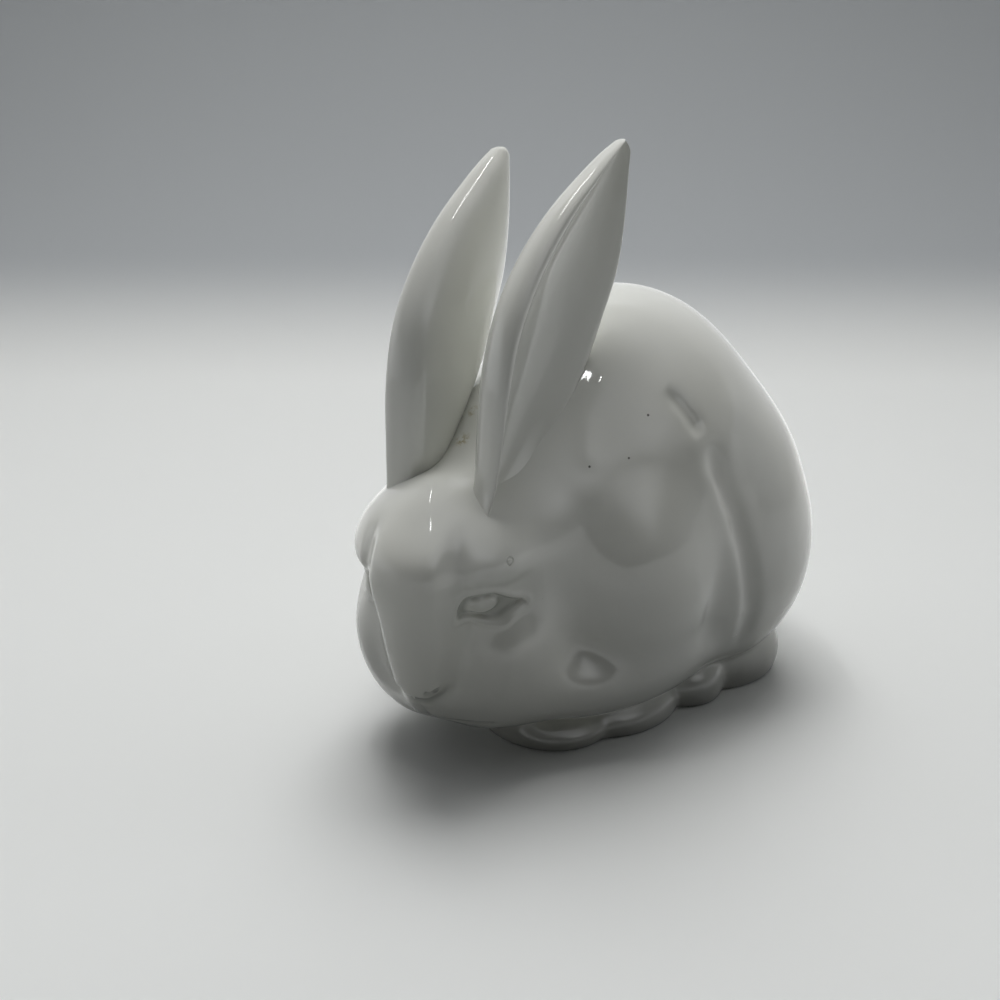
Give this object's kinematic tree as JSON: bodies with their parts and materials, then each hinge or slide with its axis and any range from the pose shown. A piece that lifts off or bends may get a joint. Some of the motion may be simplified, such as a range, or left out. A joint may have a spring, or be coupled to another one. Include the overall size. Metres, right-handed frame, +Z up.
{
  "type": "animal figurine",
  "caption": "White glazed porcelain rabbit, crouching with its head turned to its left and long upright ears; hollow, with a flat base.",
  "frame": {"origin": "under the middle of the figure's bounding box, on the surface it stands on", "axes": "+Z up; the rabbit's body points to -Y; its left side is +X; the head is turned towards +X"},
  "size_m": [0.0924, 0.153, 0.152],
  "materials": {
    "body_glaze": "glossy clear glaze over white porcelain",
    "head_glaze": "glossy clear glaze over white porcelain",
    "ear_glaze": "glossy clear glaze over white porcelain, stained at the joints",
    "foot_glaze": "glossy clear glaze over white porcelain",
    "bare_biscuit": "unglazed matt porcelain"
  },
  "bodies": {
    "root": {"body_shell": "body_glaze", "head_shell": "head_glaze", "left_ear": "ear_glaze", "right_ear": "ear_glaze", "left_forepaw": "foot_glaze", "right_forepaw": "foot_glaze", "left_hind_foot": "foot_glaze", "right_hind_foot": "foot_glaze", "tail": "body_glaze", "base_plate": "bare_biscuit"}
  },
  "joints": []
}
